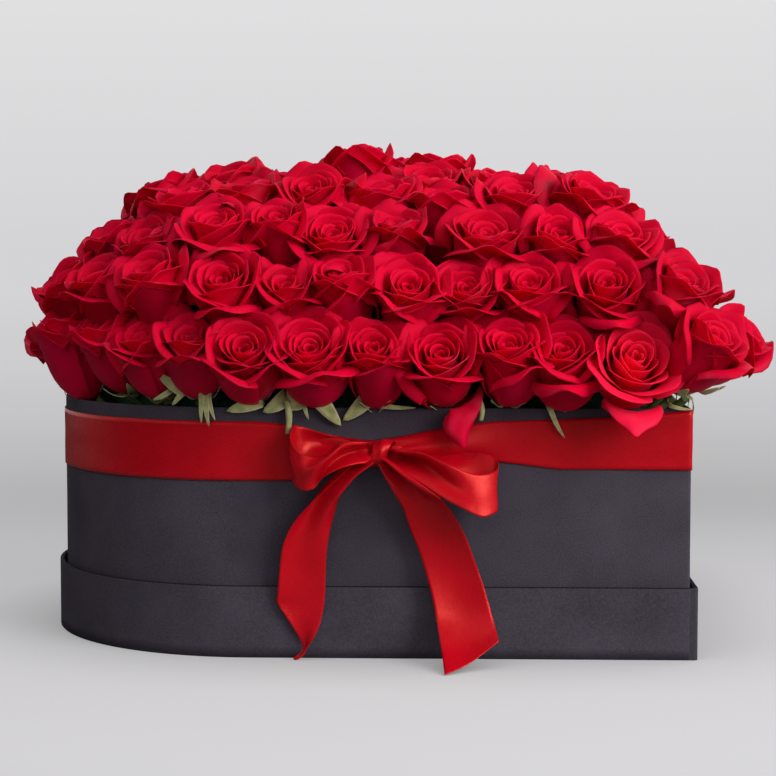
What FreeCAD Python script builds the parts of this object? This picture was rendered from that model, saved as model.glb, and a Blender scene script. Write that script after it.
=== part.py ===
"""Heart-shaped flower box: a paper-wrapped board box that stands in its own upturned lid,
tied round with a satin ribbon and bow, holding a dome of cut roses in wet floral foam.

Millimetres, +Z up. The origin is on the floor, in the middle of the heart's bounding square.
The front of the box, with the bow, faces -Y; the heart's point is at +X, -Y.
"""
import FreeCAD
import Part
import math
import os

V = FreeCAD.Vector

# Heart outline of the box: a square with a half-round lobe on two of its sides
SIDE = 280.0
LOBE_R = SIDE / 2
QUARTER = SIDE / 4
REACH = 0.75 * SIDE
TIP_R = 2.0

# Board, paper and film
BOARD = 2.2
PAPER = 0.3
FILM = 0.4
WALL = BOARD + PAPER
LINING_GAP = 0.4

# Lid, upturned under the box
LID_GAP = 2.5
LID_RIM_TOP = 46.0
SKIN_LIFT = 0.3

# Box, standing on the inside of the lid's panel
BOX_BOTTOM = BOARD + PAPER + 0.2
BOX_TOP = 159.0
LINER_TOP = 151.0

# Ribbon and bow
RIBBON_WIDTH = 38.0
RIBBON_THICK = 0.5
RIBBON_STEPS = 4
RIBBON_GAP = 0.2
BAND_LOW = 112.5
BAND_LOW_AT_TIP = 120.0
KNOT_X = 14.0
KNOT_Z = 130.5
KNOT_WIDTH = 14.0
KNOT_TALL = 15.0
KNOT_BACK = 2.0
KNOT_DEEP = 17.0
KNOT_ROUND = 4.5
KNOT_CLEAR = 0.3
BAND_AT_KNOT = 16.0
BAND_TAPER_LEFT = -50.0
BAND_TAPER_RIGHT = 92.0

# Floral foam: two brick layers in the liner, then three carved steps above the rim
FOAM_GAP = 0.5
FOAM_SIDE_GAP = 3.0
BRICK_LONG = 230.0
BRICK_WIDE = 110.0
FOAM_JOIN = 80.0
FOAM_TOP = 154.0
FOAM_STEPS = (("lower", 30.0, 199.0), ("middle", 62.0, 231.0), ("top", 106.0, 250.0))

# One rose: its head in its own frame, +Z out of the bloom, origin at the widest part
HEAD_R = 20.0
HEAD_BASE = -27.0
HEAD_BASE_R = 5.5
HEAD_RIM = (18.8, 16.0)
HEAD_TOP = 23.0
CALYX_LONG = 7.0
SEPAL_GAP = 0.6
SEPAL_THICK = 0.9
SEPAL_REACH = 18.0
SEPAL_WAIST = 5.0
SEPALS = 5
SEPAL_SHARE = 0.7
SEPAL_POINTS = 16
STEM_R = 2.6
STEM_LONG = 44.0

# Rows of roses, from the rim up: inset from the box face, height and upward tilt of the heads,
# and how far along the row from the heart's point the first head stands
ROSE_PITCH = 40.8
ROWS = (
    (-12.0, 185.5, 40.0, 4.3),
    (10.0, 233.0, 48.0, 4.6),
    (39.0, 266.0, 56.0, 21.6),
    (77.0, 285.0, 68.0, 0.0),
    (120.0, 299.0, 80.0, 5.0),
)
CROWN = V(46.0, -46.0, 309.0)
CROWN_REACH = 60.0
TILT_CYCLE = (3.0, -5.0, 5.0)
# Balls along a head's axis, (offset, radius), that two heads keep clear of each other
HEAD_BALLS = ((-16.0, 14.5), (-2.0, 19.6), (7.0, 20.2), (15.0, 19.2))
FILL_STEP = 4.0
NORMAL_REACH = 66.0
TRACE_STEP = 0.25
POINT_PUSH = 10.0
POINT_REACH = 80.0
POINT_LEAN = 0.7


def arc(start, middle, end):
    return Part.Arc(start, middle, end).toShape()


def line(start, end):
    return Part.LineSegment(start, end).toShape()


def outline(grow, z=0.0, tip_r=0.0):
    """Closed heart wire at height z, standing grow outside the box face, or inside it if negative."""
    r = LOBE_R + grow
    right = REACH + grow
    left_centre = V(-QUARTER, -QUARTER, z)
    back_centre = V(QUARTER, QUARTER, z)
    cleft = V(-QUARTER, QUARTER, z)
    tip = V(right, -right, z)
    front_left = V(-QUARTER, -right, z)
    right_back = V(right, QUARTER, z)
    diagonal = math.sqrt(0.5)
    cleft_edges = []
    if grow < 0:
        left_end = cleft + V(0, grow, 0)
        back_start = cleft + V(-grow, 0, 0)
        bend = cleft + V(-grow * diagonal, grow * diagonal, 0)
        cleft_edges = [arc(left_end, bend, back_start)]
    else:
        meet = diagonal * math.sqrt(r * r - SIDE * SIDE / 8)
        left_end = back_start = V(-meet, meet, z)
    tip_start, tip_end, tip_edges = tip, tip, []
    if tip_r:
        tip_start = tip + V(0, tip_r, 0)
        tip_end = tip + V(-tip_r, 0, 0)
        corner = tip + V(-tip_r * (1 - diagonal), tip_r * (1 - diagonal), 0)
        tip_edges = [arc(tip_start, corner, tip_end)]
    edges = tip_edges + [line(tip_end, front_left)]
    edges.append(arc(front_left, left_centre + V(-r, 0, 0), left_end))
    edges += cleft_edges
    edges.append(arc(back_start, back_centre + V(0, r, 0), right_back))
    edges.append(line(right_back, tip_start))
    return Part.Wire(edges)


def prism(grow, low, high, tip_r=0.0):
    """Heart-shaped block between two heights."""
    return Part.Face(outline(grow, low, tip_r)).extrude(V(0, 0, high - low))


def ring(inner, outer, low, high, tip_r=0.0):
    """Heart-shaped wall between two offsets from the box face."""
    core = prism(inner, low - 1, high + 1, tip_r if inner >= 0 else 0.0)
    return prism(outer, low, high, tip_r).cut(core)


def wrap(inner, outer, low, high, tip_r):
    """Paper on the outside of a board wall, folded over the wall's top edge."""
    skin = ring(outer - PAPER, outer, low, high, tip_r)
    fold = ring(inner, outer - PAPER, high - PAPER, high, tip_r)
    return skin.fuse(fold).removeSplitter()


def make_lid():
    board_out = LID_GAP + BOARD
    return {
        "lid_panel": prism(LID_GAP, 0, BOARD, TIP_R),
        "lid_rim": ring(LID_GAP, board_out, 0, LID_RIM_TOP - PAPER, TIP_R),
        "lid_wrap": wrap(LID_GAP, board_out + PAPER, SKIN_LIFT, LID_RIM_TOP, TIP_R),
    }


def make_box():
    base_top = BOX_BOTTOM + BOARD
    return {
        "box_base": prism(-WALL, BOX_BOTTOM, base_top),
        "box_wall": ring(-WALL, -PAPER, BOX_BOTTOM, BOX_TOP - PAPER, TIP_R),
        "box_wrap": wrap(-WALL, 0, BOX_BOTTOM, BOX_TOP, TIP_R),
        "box_lining": ring(-WALL - PAPER, -WALL, base_top, BOX_TOP - WALL),
    }


def upright_sheet(points, face_y):
    """Flat piece of ribbon on the front of the box, cut to an outline of (x, z) points."""
    corners = [V(x, face_y, z) for x, z in points]
    flat = Part.Face(Part.makePolygon(corners + corners[:1]))
    return flat.extrude(V(0, -RIBBON_THICK, 0))


def make_band():
    """Ribbon round the box: level round the lobes, rising to the point, drawn in at the knot.
    It is pulled straight across the cleft between the lobes."""
    inner = LOBE_R + RIBBON_GAP
    outer = inner + RIBBON_THICK
    face = REACH + RIBBON_GAP
    left_centre = V(-QUARTER, -QUARTER, BAND_LOW)
    back_centre = V(QUARTER, QUARTER, BAND_LOW)
    diagonal = math.sqrt(0.5)
    bridge = V(-diagonal, diagonal, 0)
    loops = []
    for r in (inner, outer):
        front = left_centre + V(0, -r, 0)
        left_off = left_centre + bridge * r
        back_on = back_centre + bridge * r
        right = back_centre + V(r, 0, 0)
        loops.append((
            arc(front, left_centre + V(-r, 0, 0), left_off),
            line(left_off, back_on),
            arc(back_on, back_centre + V(0, r, 0), right),
        ))
    ends = [line(loops[0][0].firstVertex().Point, loops[1][0].firstVertex().Point)]
    ends.append(line(loops[0][2].lastVertex().Point, loops[1][2].lastVertex().Point))
    section = Part.Wire(Part.__sortEdges__(list(loops[0]) + list(loops[1]) + ends))
    round_lobes = Part.Face(section).extrude(V(0, 0, RIBBON_WIDTH))

    knot_low = KNOT_Z - BAND_AT_KNOT / 2
    knot_high = KNOT_Z + BAND_AT_KNOT / 2
    rise = BAND_LOW_AT_TIP - BAND_LOW
    low_at = lambda x: BAND_LOW + rise * (x + QUARTER) / (face + QUARTER)
    left_part = upright_sheet((
        (-QUARTER, BAND_LOW),
        (BAND_TAPER_LEFT, low_at(BAND_TAPER_LEFT)),
        (KNOT_X, knot_low),
        (KNOT_X, knot_high),
        (BAND_TAPER_LEFT, low_at(BAND_TAPER_LEFT) + RIBBON_WIDTH),
        (-QUARTER, BAND_LOW + RIBBON_WIDTH),
    ), -face)
    corner = face + RIBBON_THICK
    right_part = upright_sheet((
        (KNOT_X, knot_low),
        (BAND_TAPER_RIGHT, low_at(BAND_TAPER_RIGHT)),
        (corner, BAND_LOW_AT_TIP),
        (corner, BAND_LOW_AT_TIP + RIBBON_WIDTH),
        (BAND_TAPER_RIGHT, low_at(BAND_TAPER_RIGHT) + RIBBON_WIDTH),
        (KNOT_X, knot_high),
    ), -face)
    side_points = (
        V(face, -face, BAND_LOW_AT_TIP),
        V(face, QUARTER, BAND_LOW),
        V(face, QUARTER, BAND_LOW + RIBBON_WIDTH),
        V(face, -face, BAND_LOW_AT_TIP + RIBBON_WIDTH),
    )
    side = Part.Face(Part.makePolygon(side_points + side_points[:1]))
    right_side = side.extrude(V(RIBBON_THICK, 0, 0))
    return round_lobes.fuse([left_part, right_part, right_side]).removeSplitter()


def smooth_edge(points, count):
    """Evenly numbered points along a smooth curve through the given ones."""
    curve = Part.BSplineCurve()
    curve.interpolate([V(*p) for p in points])
    first, last = curve.FirstParameter, curve.LastParameter
    return [curve.value(first + (last - first) * i / count) for i in range(count + 1)]


def ribbon_strip(stations):
    """Ribbon of even thickness through (one edge, other edge) stations, each edge an (x, y, z) point."""
    count = RIBBON_STEPS * (len(stations) - 1)
    one_edge = smooth_edge([a for a, _ in stations], count)
    other_edge = smooth_edge([b for _, b in stations], count)
    middles = [(a + b) * 0.5 for a, b in zip(one_edge, other_edge)]
    sections = []
    for i, (a, b) in enumerate(zip(one_edge, other_edge)):
        along = middles[min(i + 1, count)] - middles[max(i - 1, 0)]
        half = (b - a).cross(along).normalize() * (RIBBON_THICK / 2)
        corners = [a - half, b - half, b + half, a + half]
        sections.append(Part.makePolygon(corners + corners[:1]))
    return Part.makeLoft(sections, True, True)


# Bow: (lower or left edge, upper or right edge) along each piece, from the knot outwards
KNOT_LEFT = KNOT_X - KNOT_WIDTH / 2 - KNOT_CLEAR
KNOT_RIGHT = KNOT_X + KNOT_WIDTH / 2 + KNOT_CLEAR
KNOT_LOW = KNOT_Z - KNOT_TALL / 2 - KNOT_CLEAR
LOOP_LEFT = (
    ((KNOT_LEFT, -225, 126), (KNOT_LEFT, -225, 135)),
    ((-8, -230, 119), (-9, -229, 138)),
    ((-22, -234, 112), (-27, -233, 142)),
    ((-32, -233, 108.5), (-39, -233, 145)),
    ((-35, -226, 109), (-44, -226, 147)),
    ((-31, -219, 111), (-39, -219, 149)),
    ((-21, -216, 116), (-25, -216, 148)),
    ((-7, -215.5, 123), (-8, -215.5, 143)),
    ((KNOT_LEFT, -217, 127), (KNOT_LEFT, -217, 138)),
)
LOOP_RIGHT = (
    ((KNOT_RIGHT, -225, 126), (KNOT_RIGHT, -225, 134)),
    ((38, -230, 115), (37, -230, 134)),
    ((57, -235, 105), (56, -234, 131)),
    ((75, -237, 97), (76, -236, 126)),
    ((87, -230, 94.5), (88.5, -229, 127.5)),
    ((77, -221.5, 100), (79, -221, 134)),
    ((57, -217, 111), (59, -217, 141)),
    ((37, -215.5, 122), (38, -215.5, 143)),
    ((KNOT_RIGHT, -217, 128), (KNOT_RIGHT, -217, 138)),
)
TAIL_LEFT = (
    ((KNOT_LEFT + 0.5, -222, KNOT_LOW), (KNOT_X - 1, -222, KNOT_LOW)),
    ((-14, -227, 112), (2, -223, 109)),
    ((-32, -232, 98), (-9, -223, 96)),
    ((-44, -236, 83), (-15, -222, 80)),
    ((-49, -238, 64), (-19, -221, 60)),
    ((-51, -237, 38), (-20, -220, 36)),
    ((-47, -233, 24), (-24, -219.5, 16)),
    ((-40, -229, 8), (-32, -222, 2)),
)
TAIL_RIGHT = (
    ((KNOT_X + 1, -222, KNOT_LOW), (KNOT_RIGHT - 0.5, -222, KNOT_LOW)),
    ((25, -225, 111), (38, -228, 116)),
    ((30, -227, 98), (56, -232, 103)),
    ((37, -230, 77), (68, -235, 84)),
    ((43, -234, 58), (76, -238, 64)),
    ((47, -241, 38), (82, -243, 46)),
    ((51, -253, 20), (87, -251, 31)),
    ((55, -274, 2), (90, -262, 19)),
)


def make_knot():
    """Turn of ribbon that gathers the loops and tails."""
    low = V(KNOT_X - KNOT_WIDTH / 2, -REACH - KNOT_BACK - KNOT_DEEP, KNOT_Z - KNOT_TALL / 2)
    block = Part.makeBox(KNOT_WIDTH, KNOT_DEEP, KNOT_TALL, low)
    front_edges = [e for e in block.Edges if e.CenterOfMass.y < -REACH - KNOT_BACK - KNOT_DEEP / 2]
    return block.makeFillet(KNOT_ROUND, front_edges)


def make_ribbon():
    return {
        "ribbon_band": make_band(),
        "bow_knot": make_knot(),
        "bow_loop_left": ribbon_strip(LOOP_LEFT),
        "bow_loop_right": ribbon_strip(LOOP_RIGHT),
        "bow_tail_left": ribbon_strip(TAIL_LEFT),
        "bow_tail_right": ribbon_strip(TAIL_RIGHT),
    }


def make_liner(floor):
    """Waterproof film tray between the foam and the box."""
    outer = -WALL - PAPER - LINING_GAP
    tray = prism(outer, floor, LINER_TOP)
    return tray.cut(prism(outer - FILM, floor + FILM, LINER_TOP + 1))


def brick_layer(grow, low, high, shift):
    """One layer of foam bricks, cut to the heart and laid with small gaps."""
    block = prism(grow, low, high)
    bricks = []
    x = -REACH - BRICK_LONG + shift
    while x < REACH:
        y = -REACH
        while y < REACH:
            size = (BRICK_LONG - FOAM_GAP, BRICK_WIDE - FOAM_GAP, high - low)
            bricks += block.common(Part.makeBox(*size, V(x, y, low))).Solids
            y += BRICK_WIDE
        x += BRICK_LONG
    return Part.makeCompound(bricks)


def make_foam(floor):
    grow = -WALL - PAPER - LINING_GAP - FILM - FOAM_SIDE_GAP
    foam = {
        "foam_bricks_lower": brick_layer(grow, floor, FOAM_JOIN, 0.0),
        "foam_bricks_upper": brick_layer(grow, FOAM_JOIN + FOAM_GAP, FOAM_TOP, BRICK_LONG / 2),
    }
    low = FOAM_TOP + FOAM_GAP
    for name, inset, high in FOAM_STEPS:
        foam["foam_step_" + name] = prism(-inset, low, high)
        low = high + FOAM_GAP
    return foam


def turned(points):
    """Solid turned about the Z axis from a closed outline of (radius, height) points."""
    corners = [V(r, 0, z) for r, z in points]
    face = Part.Face(Part.makePolygon(corners + corners[:1]))
    return face.revolve(V(0, 0, 0), V(0, 0, 1), 360)


def cup_side():
    """Smooth line up the outside of a bloom, from its base to its rim."""
    shape = ((HEAD_BASE_R, HEAD_BASE), (11.5, -22.0), (16.5, -13.5), (19.3, -3.0), (HEAD_R, 7.0), HEAD_RIM)
    side = Part.BSplineCurve()
    side.interpolate([V(r, 0, z) for r, z in shape])
    return side


def make_head():
    """Rose bloom: a swelling cup of outer petals round three nested rings of inner ones."""
    crests = (HEAD_RIM, (17.2, 19.5), (15.2, 17.8), (13.6, 14.0), (12.4, 20.0), (10.8, 21.5),
              (9.2, 19.5), (8.2, 16.5), (7.2, 21.0), (5.8, 22.6), (4.4, 20.5), (3.6, 18.5),
              (2.6, 22.0), (1.2, HEAD_TOP), (0.0, HEAD_TOP))
    top = [line(V(a[0], 0, a[1]), V(b[0], 0, b[1])) for a, b in zip(crests, crests[1:])]
    axis_low = V(0, 0, HEAD_BASE)
    close = [line(V(0, 0, HEAD_TOP), axis_low), line(axis_low, V(HEAD_BASE_R, 0, HEAD_BASE))]
    face = Part.Face(Part.Wire([cup_side().toShape()] + top + close))
    return face.revolve(V(0, 0, 0), V(0, 0, 1), 360)


def make_calyx():
    """Green hip under the bloom with pointed sepals lying up its sides."""
    top = HEAD_BASE - SEPAL_GAP / 2
    low = top - CALYX_LONG
    hip = turned(((0, low), (3.0, low), (6.2, low + 3.4), (6.8, top - 1.2), (6.3, top), (0, top)))
    side = cup_side()
    share = (side.LastParameter - side.FirstParameter) * SEPAL_SHARE / SEPAL_POINTS
    inner = []
    outer = []
    for i in range(SEPAL_POINTS + 1):
        at = side.FirstParameter + share * i
        ahead = side.tangent(at)[0]
        away = V(ahead.z, 0, -ahead.x)
        inner.append(side.value(at) + away * SEPAL_GAP)
        outer.append(side.value(at) + away * (SEPAL_GAP + SEPAL_THICK))
    strip = Part.Face(Part.makePolygon(inner + outer[::-1] + inner[:1]))
    bowl = strip.revolve(V(0, 0, 0), V(0, 0, 1), 360)
    star = []
    for i in range(2 * SEPALS + 1):
        r = SEPAL_REACH if i % 2 == 0 else SEPAL_WAIST
        turn = math.pi * i / SEPALS
        star.append(V(r * math.cos(turn), r * math.sin(turn), low))
    points = Part.Face(Part.makePolygon(star)).extrude(V(0, 0, HEAD_TOP - low))
    return hip.fuse(bowl.common(points)).removeSplitter()


def make_stem():
    top = HEAD_BASE - SEPAL_GAP / 2 - CALYX_LONG
    return Part.makeCylinder(STEM_R, STEM_LONG, V(0, 0, top - STEM_LONG))


def at_inset(inset, column):
    """Height or tilt of the dome of roses at an inset, between the rows that are given."""
    for a, b in zip(ROWS, ROWS[1:]):
        if inset <= b[0]:
            return a[column] + (b[column] - a[column]) * (inset - a[0]) / (b[0] - a[0])
    return ROWS[-1][column]


def seats_on_row(inset, pitch, start):
    """(centre, axis) of evenly spaced rose heads along the outline at one inset."""
    row = outline(-inset)
    trace = row.discretize(Distance=TRACE_STEP)
    count = len(trace)
    heads = max(1, int(row.Length / pitch))
    reach = max(1, int(NORMAL_REACH / row.Length * count))
    point = V(REACH - inset, inset - REACH, 0)
    seats = []
    for k in range(heads):
        i = int((start / row.Length + k / heads) * count) % count
        along = trace[(i + reach) % count] - trace[(i - reach) % count]
        out = V(-along.y, along.x, 0)
        out = out.normalize() if out.Length > 1e-6 else V(0, 0, 0)
        push = POINT_PUSH * max(0, 1 - trace[i].distanceToPoint(point) / POINT_REACH)
        tilt = math.radians(at_inset(inset, 2) + TILT_CYCLE[k % len(TILT_CYCLE)] - POINT_LEAN * push)
        centre = V(trace[i].x, trace[i].y, at_inset(inset, 1)) + out * push
        seats.append((centre, out * math.cos(tilt) + V(0, 0, math.sin(tilt))))
    return seats


def seats_on_crown():
    """Upright heads on the flat of the dome, from its middle outwards."""
    steps = int(CROWN_REACH / FILL_STEP)
    spots = [V(i, k, 0) * FILL_STEP for i in range(-steps, steps + 1) for k in range(-steps, steps + 1)]
    spots.sort(key=lambda spot: spot.Length)
    return [(CROWN + spot, V(0, 0, 1)) for spot in spots]


def heads_clear(seat, other):
    apart = seat[0].distanceToPoint(other[0])
    if apart > 2 * ROSE_PITCH:
        return True
    for offset, r in HEAD_BALLS:
        for other_offset, other_r in HEAD_BALLS:
            here = seat[0] + seat[1] * offset
            there = other[0] + other[1] * other_offset
            if here.distanceToPoint(there) < r + other_r:
                return False
    return True


def rose_rows():
    """Seats of all roses: the set rows, then single roses wherever one more still fits."""
    placed = []
    rows = {}

    def add(name, seats):
        for seat in seats:
            if all(heads_clear(seat, other) for other in placed):
                placed.append(seat)
                rows.setdefault(name, []).append(seat)

    for number, (inset, _, _, start) in enumerate(ROWS, 1):
        add("row_%d" % number, seats_on_row(inset, ROSE_PITCH, start))
    add("crown", seats_on_crown())
    inset = ROWS[0][0]
    while inset < ROWS[-1][0]:
        add("infill", seats_on_row(inset, FILL_STEP, 0.0))
        inset += FILL_STEP
    return rows


def place(shape, centre, axis):
    turn = FreeCAD.Rotation(V(0, 0, 1), axis)
    return shape.transformed(FreeCAD.Placement(centre, turn).toMatrix(), True)


def make_roses():
    pieces = {"rose_heads": make_head(), "rose_calyxes": make_calyx(), "rose_stems": make_stem()}
    nodes = {}
    for row, seats in rose_rows().items():
        for name, shape in pieces.items():
            nodes[name + "_" + row] = Part.makeCompound([place(shape, c, a) for c, a in seats])
        print(row, len(seats), "roses")
    return nodes


def main():
    os.makedirs("parts", exist_ok=True)
    liner_floor = BOX_BOTTOM + BOARD + LINING_GAP
    nodes = {}
    nodes.update(make_lid())
    nodes.update(make_box())
    nodes.update(make_ribbon())
    nodes["film_liner"] = make_liner(liner_floor)
    nodes.update(make_foam(liner_floor + FILM + FOAM_GAP))
    nodes.update(make_roses())
    for name, shape in nodes.items():
        if not shape.isValid():
            print("not valid:", name)
        shape.exportStep("parts/%s.step" % name)
        print("%-26s solids %3d  volume %.0f" % (name, len(shape.Solids), shape.Volume))


main()
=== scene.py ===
"""Flower box: a black paper heart box in its upturned lid, a satin ribbon and bow, a dome of red roses."""
import random
from math import atan2, ceil, cos, exp, pi, radians, sin, sqrt, tanh, tau

import bmesh
import bpy
from mathutils import Matrix, Vector, noise


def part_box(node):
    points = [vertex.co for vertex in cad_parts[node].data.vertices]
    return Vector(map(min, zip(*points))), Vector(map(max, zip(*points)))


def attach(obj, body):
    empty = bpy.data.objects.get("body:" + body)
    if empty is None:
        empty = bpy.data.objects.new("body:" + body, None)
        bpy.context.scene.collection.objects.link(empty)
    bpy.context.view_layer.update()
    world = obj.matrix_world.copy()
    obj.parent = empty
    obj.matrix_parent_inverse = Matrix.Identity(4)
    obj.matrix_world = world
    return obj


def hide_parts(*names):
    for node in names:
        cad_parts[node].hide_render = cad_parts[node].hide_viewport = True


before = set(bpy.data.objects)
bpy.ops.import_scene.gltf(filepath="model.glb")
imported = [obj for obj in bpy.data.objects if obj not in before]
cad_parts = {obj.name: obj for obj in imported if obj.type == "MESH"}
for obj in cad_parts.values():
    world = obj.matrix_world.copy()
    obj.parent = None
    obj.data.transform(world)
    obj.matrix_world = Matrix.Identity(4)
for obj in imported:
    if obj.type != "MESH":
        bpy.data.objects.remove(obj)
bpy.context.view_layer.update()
MM = 0.001
scene = bpy.context.scene

# Box and lid, read from the solids
BOX_LOW, BOX_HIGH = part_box("box_wrap")
LID_LOW, LID_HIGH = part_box("lid_wrap")
SIDE = (BOX_HIGH[0] - BOX_LOW[0]) / 1.5
REACH = 0.75 * SIDE
QUARTER = 0.25 * SIDE
LID_GROW = LID_HIGH[0] - BOX_HIGH[0]
WALL = 2.5 * MM
PAPER = 0.3 * MM
RIM_ROUND = 0.9 * MM
TIP_ROUND = 2.0 * MM
BOX_FOLD = 14 * MM
LID_FOLD_UP = 3 * MM
PAPER_SLACK = 0.12 * MM

# Ribbon
RIBBON_WIDTH = 38 * MM
RIBBON_THICK = 0.35 * MM
RIBBON_OFF = 0.45 * MM
KNOT_X = 14.0


def up(z):
    return Vector((0, 0, z))


def round_at(angle, radius=1.0, z=0.0):
    """Point at an angle and a radius round the upright axis."""
    return Vector((radius * cos(angle), radius * sin(angle), z))


def weld(bm, within=0.01 * MM):
    bmesh.ops.remove_doubles(bm, verts=bm.verts[:], dist=within)


def linked(name, data):
    thing = bpy.data.objects.new(name, data)
    scene.collection.objects.link(thing)
    return thing


def new_object(name, bm, material):
    mesh = bpy.data.meshes.new(name)
    bm.to_mesh(mesh)
    bm.free()
    mesh.materials.append(material)
    return linked(name, mesh)


def keep_piece(name, bm, body, material, node, thick=None, offset=0):
    """Makes a bmesh a piece that rides on a body and stands for a CAD node. A skin is given its thickness."""
    for face in bm.faces:
        face.smooth = True
    piece = new_object(name, bm, material)
    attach(piece, body)
    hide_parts(node)
    if thick:
        skin = piece.modifiers.new("skin", "SOLIDIFY")
        skin.thickness = thick
        skin.offset = offset
    return piece


def shaped_grid(bm, columns, rows, place, uv_name=None):
    """Grid whose points go where place(column share, row share) says, with the shares as its UV map."""
    made = bmesh.ops.create_grid(bm, x_segments=columns, y_segments=rows, size=1.0)["verts"]
    shares = {}
    for v in made:
        shares[v] = (round((v.co.x + 1) / 2 * columns) / columns, round((v.co.y + 1) / 2 * rows) / rows)
    if uv_name:
        uv = bm.loops.layers.uv.get(uv_name) or bm.loops.layers.uv.new(uv_name)
        for face in {f for v in made for f in v.link_faces}:
            for loop in face.loops:
                loop[uv].uv = shares[loop.vert]
    for v in made:
        v.co = place(*shares[v])


def bell(x, middle, reach):
    return exp(-((x - middle) / reach) ** 2)


def smooth_step(x):
    x = min(1.0, max(0.0, x))
    return x * x * (3 - 2 * x)


def along_points(points, t):
    """Point at share t of a smooth curve through the points, evenly numbered."""
    last = len(points) - 1
    at = min(max(t, 0.0), 1.0) * last
    k = min(int(at), last - 1)
    f = at - k
    a, b, c, d = (Vector(points[min(max(k + n, 0), last)]) for n in (-1, 0, 1, 2))
    curve = 2 * b + (c - a) * f + (2 * a - 5 * b + 4 * c - d) * f * f
    return 0.5 * (curve + (3 * b - a - 3 * c + d) * f ** 3)


def height_at(points, x):
    """Height at x on straight runs through (x, z) points."""
    for (x0, z0), (x1, z1) in zip(points, points[1:]):
        if x <= x1:
            return z0 + (z1 - z0) * max(0.0, x - x0) / (x1 - x0)
    return points[-1][1]


# Materials

class Finish:
    """The node tree of a material or a world, with a short call for each kind of node in it."""

    def __init__(self, owner):
        owner.use_nodes = True
        self.owner = owner
        self.tree = owner.node_tree
        self.shader = self.tree.nodes.get("Principled BSDF")

    def feed(self, node, inputs):
        for key, value in inputs.items():
            if isinstance(value, bpy.types.NodeSocket):
                self.tree.links.new(value, node.inputs[key])
            else:
                node.inputs[key].default_value = value

    def add(self, kind, inputs=None, **settings):
        node = self.tree.nodes.new("ShaderNode" + kind)
        for key, value in settings.items():
            setattr(node, key, value)
        self.feed(node, inputs or {})
        return node

    def at(self):
        return self.add("TexCoord").outputs["Object"]

    def uv(self, name):
        return self.add("UVMap", uv_map=name).outputs[0]

    def part(self, vector, axis):
        return self.add("SeparateXYZ", {0: vector}).outputs[axis]

    def mix(self, share, first, second):
        return self.add("Mix", {0: share, 6: first, 7: second}, data_type="RGBA").outputs[2]

    def maths(self, operation, first, second=0.0, clamp=False):
        return self.add("Math", {0: first, 1: second}, operation=operation, use_clamp=clamp).outputs[0]

    def plus(self, first, second, clamp=False):
        return self.maths("ADD", first, second, clamp)

    def minus(self, first, second):
        return self.maths("SUBTRACT", first, second)

    def times(self, first, second):
        return self.maths("MULTIPLY", first, second)

    def off_middle(self, share):
        return self.maths("ABSOLUTE", self.minus(share, 0.5))

    def spread(self, value, low, high, to_low=0.0, to_high=1.0, **settings):
        """A value's range, low to high, spread over another."""
        return self.add("MapRange", {0: value, 1: low, 2: high, 3: to_low, 4: to_high}, **settings).outputs[0]

    def noise(self, vector, scale, detail=3.0, rough=0.5):
        inputs = {"Vector": vector, "Scale": scale, "Detail": detail, "Roughness": rough}
        return self.add("TexNoise", inputs).outputs[0]

    def streaks(self, vector, stretch, detail=3.0, scale=1.0):
        """Noise drawn out along the axis with the smallest stretch."""
        drawn = self.add("Mapping", {"Vector": vector, "Scale": stretch}).outputs[0]
        return self.noise(drawn, scale, detail)

    def show_mix(self, output, share, first, second):
        """Shows a mix of two shaders."""
        mixed = self.add("MixShader", {0: share, 1: first.outputs[0], 2: second.outputs[0]})
        self.tree.links.new(mixed.outputs[0], self.tree.nodes[output].inputs[0])

    def made(self, colour, rough, relief, more=None):
        """The material, given its relief as (height, strength, distance) and more inputs by name."""
        bump = self.add("Bump", dict(zip(("Height", "Strength", "Distance"), relief)))
        inputs = {"Base Color": colour, "Roughness": rough, "Normal": bump.outputs[0]}
        self.feed(self.shader, {**inputs, **(more or {})})
        return self.owner


def fresh_finish(name):
    return Finish(bpy.data.materials.new(name))


# Colours of the finishes, the darker one first where there are two
PAPER_TONES = (0.041, 0.034, 0.045, 1), (0.071, 0.060, 0.078, 1)
# Painted shade for the top of the lid's rim, standing in for the shadow in the gap to the box
PAPER_GAP_SHADE = (0.009, 0.008, 0.010, 1)
BOARD_TONES = (0.15, 0.145, 0.135, 1), (0.24, 0.23, 0.21, 1)
LINED_TONES = (0.026, 0.023, 0.028, 1), (0.040, 0.036, 0.042, 1)
SATIN_TONES = (0.46, 0.0010, 0.008, 1), (0.58, 0.0018, 0.014, 1)
SATIN_EDGE = (0.46, 0.0008, 0.007, 1)
SATIN_GLOSS = (1.0, 0.60, 0.36, 1)
PETAL_TONES = (0.57, 0.0005, 0.017, 1), (0.74, 0.0010, 0.035, 1)
# Painted light: the colour of a bloom painted brighter, standing in for the light on its open face
PETAL_PAINTED_LIGHT = (0.88, 0.008, 0.046, 1)
PETAL_STAIN = (0.13, 0.004, 0.022, 1)
# Pinker outer faces: partly the petals' own paler backs, partly painted sheen
PETAL_BLUSH_AND_SHEEN = (0.80, 0.045, 0.095, 1)
PETAL_GLOSS = (1.0, 0.22, 0.42, 1)
PETAL_DOWN = (1.0, 0.05, 0.20, 1)
SEPAL_TONES = (0.28, 0.30, 0.10, 1), (0.54, 0.55, 0.25, 1)
SEPAL_MARGIN = (0.66, 0.62, 0.42, 1)
STEM_TONES = (0.07, 0.12, 0.03, 1), (0.15, 0.22, 0.06, 1)
FOAM_TONES = (0.018, 0.060, 0.026, 1), (0.038, 0.110, 0.048, 1)
FILM_TONES = (0.30, 0.36, 0.34, 1), (0.86, 0.90, 0.90, 1)


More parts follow.
